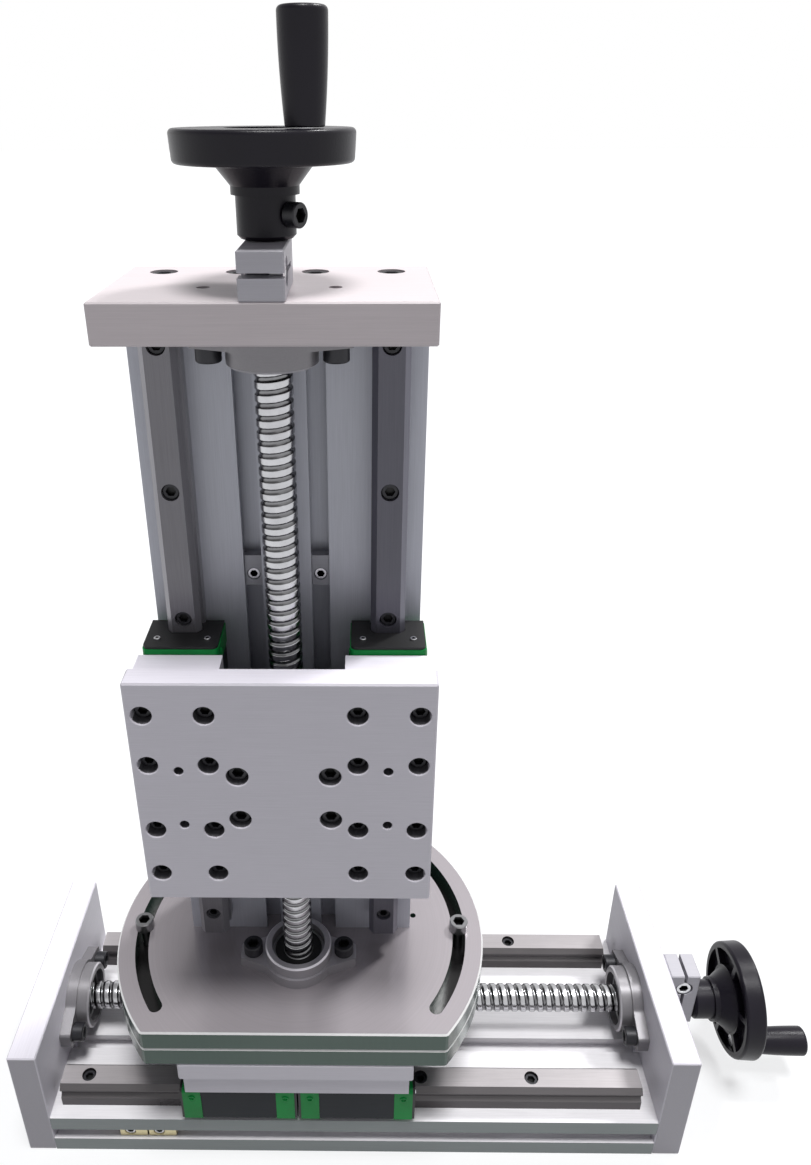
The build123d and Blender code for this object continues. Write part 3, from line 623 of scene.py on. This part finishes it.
# Painted shade: shares of the ball screw's colour from the floor of its groove to its land, darkest near
# the land's edge.
GROOVE_SHADE_SHARES = [(0.0, 0.42), (0.6, 0.3), (0.8, 0.1), (0.88, 1.0)]

# Painted shade on the walls of the slide plate's bores: how deep in its skin it begins, and its level.
BORE_SKIN = np.array([3.0, 0.6, 3.0]) * MM
BORE_SHADE = 0.16

# The painted shade on the base's sides holds beyond this distance from its middle.
FLANK_SHADE_START = 58 * MM

# Half the width of the painted shade on the lower disc, under the arc slots.
SLOT_SHADE_HALF_WIDTH = 6 * MM

materials = {
    "plate_x": metal("milled_plate_x", PLATE_GREY, X, **MILLED, faces=[(Z, PAINTED_LIGHT_TOPS)]),
    "plate_y": metal(
        "milled_plate_y", PLATE_GREY, Y, **MILLED, faces=[(Z, PAINTED_LIGHT_TOPS), (-Y, SHADED_FRONTS)]
    ),
    "table": metal(
        "milled_table", PLATE_GREY, X, **MILLED,
        faces=[(Z, STRONG_PAINTED_LIGHT_TOPS)], shaded_bores=("z_slide_plate", BORE_SKIN),
    ),
    "warm": metal("milled_warm", WARM_GREY, X, **MILLED, faces=[(Z, PAINTED_LIGHT_TOPS)]),
    "z_spacers": metal("milled_spacers", PLATE_GREY, X, **MILLED, faces=[(Z, STRONG_PAINTED_LIGHT_TOPS)]),
    "lock": metal("milled_lock", LOCK_GREY, X, **MILLED),
    "profile_x": metal(
        "extruded_profile_x", SEAT_GREY, X, metallic=0.05, roughness=0.4,
        line_strength=0.08, mottle=0.08, faces=[(Z, SHADED_PROFILE_FLANKS)], outer=(Y, FLANK_SHADE_START),
    ),
    "profile_z": metal(
        "extruded_profile_z", CHANNEL_GREY, Z, metallic=0.15, roughness=0.4,
        line_strength=0.06, mottle=0.08,
    ),
    "rail_x": metal(
        "ground_rail_x", CROWN_GREY, X, metallic=0.3, **GROUND, faces=[(Z, SHADED_RAIL_FLANKS)]
    ),
    "z_rail_left": metal(
        "ground_rail_left", LEFT_RAIL_LIT_STEEL, Z, metallic=0.4, **GROUND, faces=[(-Y, PAINTED_EDGE_HIGHLIGHTS)]
    ),
    "z_rail_right": metal(
        "ground_rail_right", RIGHT_RAIL_SHADED_STEEL, Z, metallic=0.4, **GROUND, faces=[(-Y, PAINTED_EDGE_HIGHLIGHTS)]
    ),
    "rail": metal(
        "ground_steel", GROUND_STEEL, X, metallic=0.7, roughness=0.3, line_strength=0.12, mottle=0.12
    ),
    "runner": metal(
        "runner_steel", RUNNER_BLACK, X, metallic=0.0, roughness=0.4,
        line_strength=0.2, mottle=0.2, gloss=0.12,
    ),
    "x_flange_left": metal("turned_left", FLANGE_GREY, Y, **TURNED, faces=[(X, CHAMFER_HIGHLIGHTS)]),
    "x_flange_right": metal("turned_right", FLANGE_GREY, Y, **TURNED, faces=[(-X, CHAMFER_HIGHLIGHTS)]),
    "z_flange_lower": metal("turned_lower", FLANGE_GREY, X, **TURNED, faces=[(Z, LIT_FLANGE_AND_CHAMFER_HIGHLIGHTS)]),
    "z_flange_upper": metal("turned_upper", FLANGE_GREY, X, **TURNED, faces=[(-Z, CHAMFER_HIGHLIGHTS)]),
    "bearing": metal("bearing_steel", BEARING_STEEL, Y, metallic=0.8, roughness=0.3),
    "bright": metal("bright_zinc", BRIGHT_ZINC, Y, metallic=1.0, roughness=0.22),
    "clamp": metal("dull_zinc", DULL_ZINC, Y, metallic=0.9, roughness=0.3),
    "black": metal(
        "black_oxide", BLACK_OXIDE, Y, metallic=0.3, roughness=0.4, line_strength=0.2, mottle=0.3
    ),
    "brass": metal("yellow_zinc", YELLOW_ZINC, X, metallic=0.9, roughness=0.3),
    "nut": metal("slot_nut_steel", NUT_STEEL, X, metallic=0.3, roughness=0.4),
    "green": plastic(
        "green_moulding", CAP_GREEN, roughness=0.4, grain_scale=1500.0, relief=0.1, gloss=0.15
    ),
    "rubber": plastic(
        "black_seal", SEAL_BLACK, roughness=0.5, grain_scale=2500.0, relief=0.15, gloss=0.35
    ),
    "wheel": plastic(
        "black_moulding", WHEEL_BLACK, roughness=0.32, grain_scale=1800.0, relief=0.2, gloss=0.2
    ),
}


# Pieces


def rolled_thread(start, end):
    """Places along the ball screw's right-hand thread, and its radius there at each angle.

    The radius is the land's less the groove: at a distance s from the groove's middle the groove
    is sqrt(r*r - s*s) - (r - depth) deep, where that is above zero, and s is measured along the
    axis from a helix that moves by one lead in each turn. Each land is crowned by the square of
    the distance from its middle.
    """
    along = np.linspace(start, end, int((end - start) / SCREW_LEAD * ROWS_PER_LEAD))
    angles = np.linspace(0, 2 * np.pi, SCREW_SEGMENTS, endpoint=False)
    phase = (along[:, None] - SCREW_LEAD * angles / (2 * np.pi)) / SCREW_LEAD
    from_middle = (phase - np.floor(phase) - 0.5) * SCREW_LEAD
    inside = np.clip(BALL_GROOVE_RADIUS**2 - from_middle**2, 0, None)
    groove = np.clip(np.sqrt(inside) - (BALL_GROOVE_RADIUS - BALL_GROOVE_DEPTH), 0, None)
    to_end = np.minimum(along - start, end - along)
    groove = groove * np.clip(to_end / THREAD_RUN_OUT, 0, 1)[:, None]
    from_land = SCREW_LEAD / 2 - np.abs(from_middle)
    crown = LAND_CROWN * (from_land / (SCREW_LEAD / 2)) ** 2
    return along, THREAD_RADIUS - np.maximum(groove, crown)


def ball_screw(node, body, axis):
    """Ball screw with its rolled thread, its two journals and its long tail."""
    low, high = box_of(node)
    start, end = low @ axis, high @ axis
    centre = middle_of(node) * (1 - axis)
    thread_start = start + JOURNAL_LENGTH
    thread_end = end - TAIL_LENGTH - DRIVE_JOURNAL_LENGTH
    journal_end = thread_end + DRIVE_JOURNAL_LENGTH
    along, thread = rolled_thread(thread_start, thread_end)
    edge = np.ones(SCREW_SEGMENTS)
    profile = [
        (JOURNAL_RADIUS * edge, start),
        (JOURNAL_RADIUS * edge, thread_start),
        *zip(thread, along),
        (JOURNAL_RADIUS * edge, thread_end),
        (JOURNAL_RADIUS * edge, journal_end),
        (TAIL_RADIUS * edge, journal_end),
        (TAIL_RADIUS * edge, end),
    ]
    piece = add_mesh(f"{node}_rolled", *revolved(profile, centre, axis), SCREW_SMOOTH_DEGREES)
    steel = screw_steel(f"{node}_steel", SCREW_COLOUR, centre, 1 - axis)
    return dress(piece, body, "screw_steel", steel, node)


def hexagon(across_flats, segments):
    """Radius of a hexagon at evenly spaced angles: half its width over the cosine from each flat."""
    angles = np.linspace(0, 2 * np.pi, segments, endpoint=False)
    return across_flats / 2 / np.cos((angles % (np.pi / 3)) - np.pi / 6)


def mark_sockets(piece, screws):
    """An attribute that is one at the floor of each screw's socket and nought elsewhere; it places the
    painted shade in the sockets.

    The screws of a piece have as many points each, in the same order. The last ring and the last
    point are the socket's floor, and the point before them is the middle of the foot.
    """
    share = np.zeros((screws, len(piece.data.vertices) // screws))
    share[:, -SCREW_HEAD_SEGMENTS - 2:] = 1.0
    share[:, -2] = 0.0
    depth = piece.data.attributes.new("socket", "FLOAT", "POINT")
    depth.data.foreach_set("value", share.ravel())


def socket_stud(place, axis, radius, height, socket_width):
    """Round stud with a hexagon socket: rings from its foot over the chamfer into the socket."""
    chamfer = radius * STUD_CHAMFER_SHARE
    socket = hexagon(socket_width, SCREW_HEAD_SEGMENTS)
    edge = np.ones(SCREW_HEAD_SEGMENTS)
    floor = min(0.0, height - socket_width * STUD_SOCKET_DEPTH_SHARE)
    profile = [
        (radius * edge, floor - chamfer),
        (radius * edge, height - chamfer),
        ((radius - chamfer) * edge, height),
        (socket * SOCKET_MOUTH_SHARE, height),
        (socket, height - chamfer / 2),
        (socket, floor),
    ]
    return revolved(profile, place, axis)


def studs(name, body, slot, material, places, radius, height, socket_width):
    """One piece of several socket studs, from their places and the ways that they face."""
    parts = [socket_stud(place, axis, radius, height, socket_width) for place, axis in places]
    piece = add_joined(name, parts)
    mark_sockets(piece, len(parts))
    return dress(piece, body, slot, material)


def seal_screw_places(node, along, out):
    """Two places on one face of each end seal, either side of the rail.

    The face is the one that looks away from the nearest other seal on the same rail. On a seal at
    the end of a pair of runners that is the outer face. On a seal between the two runners it is
    the face against the cap, where the screws stay hidden. They lie to both sides of the seal's
    middle and a little towards the open side.
    """
    boxes = [(points.min(axis=0), points.max(axis=0)) for points in solids_of(node)]
    middles = np.array([(low + high) / 2 for low, high in boxes])
    across = np.cross(along, out)
    places = []
    for low, high in boxes:
        middle = (low + high) / 2
        others = middles[np.abs((middles - middle) @ across) < SAME_RAIL] @ along
        nearest = others[np.argsort(np.abs(others - middle @ along))[1]]
        way = unit(along * (middle @ along - nearest))
        face = middle + way * np.abs((high - low) @ along) / 2
        rise = out * np.abs((high - low) @ out) * SEAL_SCREW_RISE_SHARE
        side = across * np.abs((high - low) @ across) * SEAL_SCREW_SPREAD_SHARE
        places += [(face + rise + side, way), (face + rise - side, way)]
    return places


def cap_plug_places(node, across, out):
    """A place on each end cap's two sides across the rail, a little towards the open side."""
    places = []
    for points in solids_of(node):
        low, high = points.min(axis=0), points.max(axis=0)
        half = across * np.abs((high - low) @ across) / 2
        spot = (low + high) / 2 + out * np.abs((high - low) @ out) * CAP_PLUG_RISE_SHARE
        places += [(spot + half, across), (spot - half, -across)]
    return places


def cap_screw(points, directions):
    """Socket head cap screw in the place of a CAD screw.

    Its head points along the first of the directions in which a round head lies over a round
    shank, and its rings run from the tip over the head to the floor of the socket.
    """
    for axis in directions:
        height = points @ axis
        middle = points[height > height.max() - SAME_HEIGHT].mean(axis=0)
        along = (points - middle) @ axis
        spread = np.linalg.norm(points - middle - along[:, None] * axis, axis=1)
        top, tip = along.max(), along.min()
        head_radius = spread.max()
        at_top = spread[along > top - SAME_HEIGHT]
        seat = along[spread > head_radius - SAME_RADIUS].min()
        shank = spread[(along < seat - SAME_HEIGHT) & (spread > SAME_SHANK)]
        round_head = at_top.max() > head_radius - SAME_RADIUS
        round_shank = len(shank) > 0 and shank.max() - shank.min() < SAME_SHANK
        if round_head and round_shank:
            break
    else:
        raise SystemExit("a CAD screw points along none of the directions given")
    bevel = head_radius * HEAD_BEVEL_SHARE
    socket = hexagon(2 * head_radius * SOCKET_WIDTH_SHARE, SCREW_HEAD_SEGMENTS)
    floor = top - (top - seat) * SOCKET_DEPTH_SHARE
    edge = np.ones(SCREW_HEAD_SEGMENTS)
    shank_radius = shank.max()
    profile = [
        (shank_radius * TIP_RADIUS_SHARE * edge, tip),
        (shank_radius * edge, tip + shank_radius * TIP_LENGTH_SHARE),
        (shank_radius * edge, seat),
        ((head_radius - bevel / 2) * edge, seat),
        (head_radius * edge, seat + bevel / 2),
        (head_radius * edge, top - bevel),
        ((head_radius - bevel) * edge, top),
        (socket * SOCKET_MOUTH_SHARE, top),
        (socket, top - bevel / 2),
        (socket, floor),
    ]
    return revolved(profile, middle, axis)


def cap_screws(node, body, slot, material, *directions):
    """All the cap screws of one CAD node."""
    parts = [cap_screw(points, [unit(d) for d in directions]) for points in solids_of(node)]
    piece = add_joined(f"{node}_socketed", parts)
    mark_sockets(piece, len(parts))
    return dress(piece, body, slot, material, node)


def revolved_ring(outline, middle, axis):
    """Closed ring round an axis, from the radii and places of its outline's corners."""
    closed = outline + outline[:1]
    points, _ = revolved([([radius] * RING_SEGMENTS, place) for radius, place in closed], middle, axis)
    return points[:-2], ring_faces(len(closed), RING_SEGMENTS)[:, ::-1].tolist()


def bearing_rings(points, axis):
    """Ball bearing as its outer ring, inner ring and the seal set back between them."""
    middle = (points.min(axis=0) + points.max(axis=0)) / 2
    along = (points - middle) @ axis
    spread = np.linalg.norm(points - middle - along[:, None] * axis, axis=1)
    outer, inner, half = spread.max(), spread.min(), along.max()
    wall, edge = (outer - inner) * RING_WALL_SHARE, (outer - inner) * RING_EDGE_SHARE
    step = half * SEAL_SETBACK_SHARE

    def ring(near, far):
        profile = [(near, half - edge), (near + edge, half), (far - edge, half), (far, half - edge)]
        return revolved_ring(profile + [(r, -place) for r, place in reversed(profile)], middle, axis)

    near, far = inner + wall, outer - wall
    seal = [(near, half - step), (far, half - step), (far, step - half), (near, step - half)]
    return ring(inner, near), ring(far, outer), revolved_ring(seal, middle, axis)


def bearings(node, body, axis):
    """Both ball bearings of a module: bright rings, and black seals between them."""
    sets = [bearing_rings(points, axis) for points in solids_of(node)]
    steel = [ring for inner_ring, outer_ring, _ in sets for ring in (inner_ring, outer_ring)]
    dress(add_joined(f"{node}_rings", steel), body, "bearing_steel", materials["bearing"], node)
    seals = add_joined(f"{node}_seals", [seal for _, _, seal in sets])
    dress(seals, body, "seal_rubber", materials["rubber"])


def turned_way(degrees, side, up):
    """Direction at an angle from one axis towards another."""
    turn = math.radians(degrees)
    return side * math.cos(turn) + up * math.sin(turn)


def add_cap_screws():
    """The socket screws of both modules and of the swivel, with the ways that they may point."""
    base_clamp = turned_way(BASE_CLAMP_DEGREES, Y, Z)
    column_clamp = turned_way(COLUMN_CLAMP_DEGREES, -X, -Y)
    black = ("black_steel", materials["black"])
    dull = ("bright_steel", materials["clamp"])
    bright = ("bright_steel", materials["bright"])
    for node, body, finish, ways in (
        ("x_rail_screws", "base", black, [Z]),
        ("z_rail_screws", "column", black, [-Y]),
        ("x_end_plate_screws", "base", black, [X, -X]),
        ("z_end_plate_screws", "column", black, [Z]),
        ("x_flange_screws", "base", black, [X, -X]),
        ("z_flange_screws", "column", black, [Z, -Z]),
        ("x_carriage_screws", "x_carriage", black, [Z, X]),
        ("z_carriage_screws", "z_carriage", black, [-Y, Z]),
        ("swivel_disc_screws", "x_carriage", black, [Z]),
        ("swivel_clamp_screws", "x_carriage", dull, [Z]),
        ("column_foot_screws", "column", black, [-Z]),
        ("x_lock_screw", "base", bright, [-Y]),
        ("z_lock_screw", "column", bright, [X]),
        ("x_wheel_screw", "x_drive", black, [base_clamp]),
        ("z_wheel_screw", "z_drive", black, [column_clamp]),
    ):
        cap_screws(node, body, *finish, *ways)


def add_small_studs():
    """Set screws of the slot nuts, screws of the end seals and plugs of the end caps."""
    bright = ("bright_steel", materials["bright"])
    set_screw = (SET_SCREW_RADIUS, SET_SCREW_HEIGHT, SET_SCREW_SOCKET)
    for name, body, places in (
        ("x_set_screws", "base", BASE_SET_SCREWS), ("z_set_screws", "column", COLUMN_SET_SCREWS)
    ):
        spots = [(np.array(place) * MM, -Y) for place in places]
        studs(name, body, *bright, spots, *set_screw)
    green = ("cap_plastic", materials["green"])
    seal_screw = (SEAL_SCREW_RADIUS, SEAL_SCREW_HEIGHT, SEAL_SCREW_SOCKET)
    cap_plug = (CAP_PLUG_RADIUS, CAP_PLUG_HEIGHT, CAP_PLUG_SOCKET)
    for axis, along, across, out in (("x", X, Y, Z), ("z", Z, X, -Y)):
        screws = seal_screw_places(f"{axis}_runner_seals", along, out)
        plugs = cap_plug_places(f"{axis}_runner_caps", across, out)
        studs(f"{axis}_seal_screws", f"{axis}_carriage", *bright, screws, *seal_screw)
        studs(f"{axis}_cap_plugs", f"{axis}_carriage", *green, plugs, *cap_plug)


def build_pieces():
    """Every piece that the scene makes, most of them in place of a plainer CAD node."""
    ball_screw("x_screw", "x_drive", X)
    ball_screw("z_screw", "z_drive", Z)
    add_cap_screws()
    bearings("x_bearings", "base", X)
    bearings("z_bearings", "column", Z)
    add_small_studs()


def dress_nodes():
    """The procedural material of each CAD node that is shown as it is."""
    pivot = middle_of("swivel_pivot")
    clamp = solids_of("swivel_clamp_screws")[0].mean(axis=0)
    slot_reach = np.hypot(*(clamp - pivot)[:2])
    colours = (DISC_FACE, DISC_SIDE_REFLECTION)
    slot_shade_band = (slot_reach - SLOT_SHADE_HALF_WIDTH, slot_reach + SLOT_SHADE_HALF_WIDTH)
    discs = {
        "swivel_upper_disc": turned_metal("turned_disc", *colours, pivot, **FACED),
        "swivel_lower_disc": turned_metal("turned_disc_greasy", *colours, pivot, **FACED, slot_shade_band=slot_shade_band),
    }
    finishes = {
        "x_profile": "profile_x", "z_profile": "profile_z",
        "x_rail": "rail_x", "z_rail_left": "z_rail_left", "z_rail_right": "z_rail_right",
        "x_end_plate": "plate_y", "z_end_plate": "warm",
        "lock_block": "lock", "x_spacers": "plate_x", "x_slide_plate": "plate_x",
        "z_spacers": "z_spacers", "z_slide_plate": "table", "nut_bracket": "plate_x",
        "runner_caps": "green", "runner_seals": "rubber", "runners": "runner",
        "x_flange_left": "x_flange_left", "x_flange_right": "x_flange_right",
        "z_flange_lower": "z_flange_lower", "z_flange_upper": "z_flange_upper",
        "ball_nut": "rail", "x_slot_nuts": "brass", "z_slot_nuts": "nut",
        "handwheel": "wheel", "handle_grip": "wheel", "handle_spindle": "bright",
        "swivel_pivot": "rail",
    }
    for name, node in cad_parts.items():
        if node.hide_render:
            continue
        node.data.materials.clear()
        if name in discs:
            node.data.materials.append(discs[name])
            continue
        key = next(word for word in finishes if word in name)
        node.data.materials.append(materials[finishes[key]])


# Floor, light and camera


def seen_directly(tree):
    """One where a ray comes straight from the view, or by way of a mirror or glass, and else nought."""
    path = tree.nodes.new("ShaderNodeLightPath")
    seen = path.outputs["Is Camera Ray"]
    for other in ("Is Glossy Ray", "Is Transmission Ray"):
        seen = value_math(tree, "MAXIMUM", seen, path.outputs[other])
    return seen


def add_floor():
    """Pale floor far wider than the view, which shows white but for the shadow on it."""
    half = FLOOR_HALF_WIDTH
    corners = [(-half, -half, 0), (half, -half, 0), (half, half, 0), (-half, half, 0)]
    floor = add_mesh("floor", corners, [(0, 1, 2, 3)])
    material, tree, shader = principled("pale_floor")
    shader.inputs["Roughness"].default_value = 0.9
    shader.inputs["Specular IOR Level"].default_value = 0.0
    shader.inputs["Base Color"].default_value = (*FLOOR_COLOUR, 1.0)
    shader.inputs["Emission Color"].default_value = (*WHITE, 1.0)
    lift = value_math(tree, "MULTIPLY", seen_directly(tree), FLOOR_LIFT)
    tree.links.new(lift, shader.inputs["Emission Strength"])
    floor.data.materials.append(material)


def add_sun(name, travel, strength, spread_degrees):
    """Lamp at an endless distance whose light travels one way."""
    lamp = bpy.data.lights.new(name, "SUN")
    lamp.energy = strength
    lamp.angle = math.radians(spread_degrees)
    holder = bpy.data.objects.new(name, lamp)
    holder.rotation_mode = "QUATERNION"
    holder.rotation_quaternion = Vector(travel).to_track_quat("-Z", "Y")
    bpy.context.scene.collection.objects.link(holder)


def light_world():
    """Surroundings that show white and light the object at a low, even level.

    High up they are grey on the left and white on the right, as a wall with a bright window is.
    """
    world = bpy.data.worlds.new("studio")
    bpy.context.scene.world = world
    world.use_nodes = True
    tree = world.node_tree
    background = tree.nodes["Background"]
    coordinates = tree.nodes.new("ShaderNodeTexCoord")
    split = tree.nodes.new("ShaderNodeSeparateXYZ")
    tree.links.new(coordinates.outputs["Generated"], split.inputs["Vector"])
    shown = ramp(tree, split.outputs["Z"], 0.0, 1.0, greys(*SKY_SHOWN))
    sideways = ramp(tree, split.outputs["X"], *WALL_TURNS_WHITE, greys((0.0, 0.0), (1.0, 1.0)))
    panel = tree.nodes.new("ShaderNodeMix")
    panel.data_type = "RGBA"
    panel.inputs[7].default_value = (*WHITE, 1.0)
    tree.links.new(sideways, panel.inputs["Factor"])
    tree.links.new(shown, panel.inputs[6])
    choice = tree.nodes.new("ShaderNodeMix")
    choice.data_type = "RGBA"
    choice.inputs[6].default_value = (*SKY_LIGHT, 1.0)
    tree.links.new(seen_directly(tree), choice.inputs["Factor"])
    tree.links.new(panel.outputs[2], choice.inputs[7])
    tree.links.new(choice.outputs[2], background.inputs["Color"])


def add_camera():
    """Camera at the photograph's place, looking down the fitted direction."""
    heading = math.sin(CAMERA_YAW) * X + math.cos(CAMERA_YAW) * Y
    level = math.cos(CAMERA_YAW) * X - math.sin(CAMERA_YAW) * Y
    forward = heading * math.cos(CAMERA_PITCH_DOWN) - Z * math.sin(CAMERA_PITCH_DOWN)
    upright = np.cross(level, forward)
    right = turned_way(CAMERA_ROLL_DEGREES, level, -upright)
    up = turned_way(CAMERA_ROLL_DEGREES, upright, level)
    lens = bpy.data.cameras.new("camera")
    lens.sensor_width = SENSOR_MM
    lens.lens = FOCAL_LENGTH_PX / IMAGE_HEIGHT * SENSOR_MM
    lens.shift_x = (IMAGE_WIDTH / 2 - PRINCIPAL_POINT_PX[0]) / IMAGE_HEIGHT
    lens.shift_y = (PRINCIPAL_POINT_PX[1] - IMAGE_HEIGHT / 2) / IMAGE_HEIGHT
    lens.clip_start, lens.clip_end = CLIP_NEAR, CLIP_FAR
    camera = bpy.data.objects.new("camera", lens)
    turn = Matrix(np.column_stack([right, up, -forward]).tolist())
    camera.matrix_world = Matrix.Translation(Vector(CAMERA_PLACE)) @ turn.to_4x4()
    bpy.context.scene.collection.objects.link(camera)
    bpy.context.scene.camera = camera


build_pieces()
dress_nodes()
add_floor()
light_world()
add_sun("overhead", OVERHEAD_TRAVEL, OVERHEAD_STRENGTH, OVERHEAD_SPREAD_DEGREES)
add_sun("window", WINDOW_TRAVEL, WINDOW_STRENGTH, WINDOW_SPREAD_DEGREES)
add_camera()
bpy.context.scene.view_settings.view_transform = "Standard"
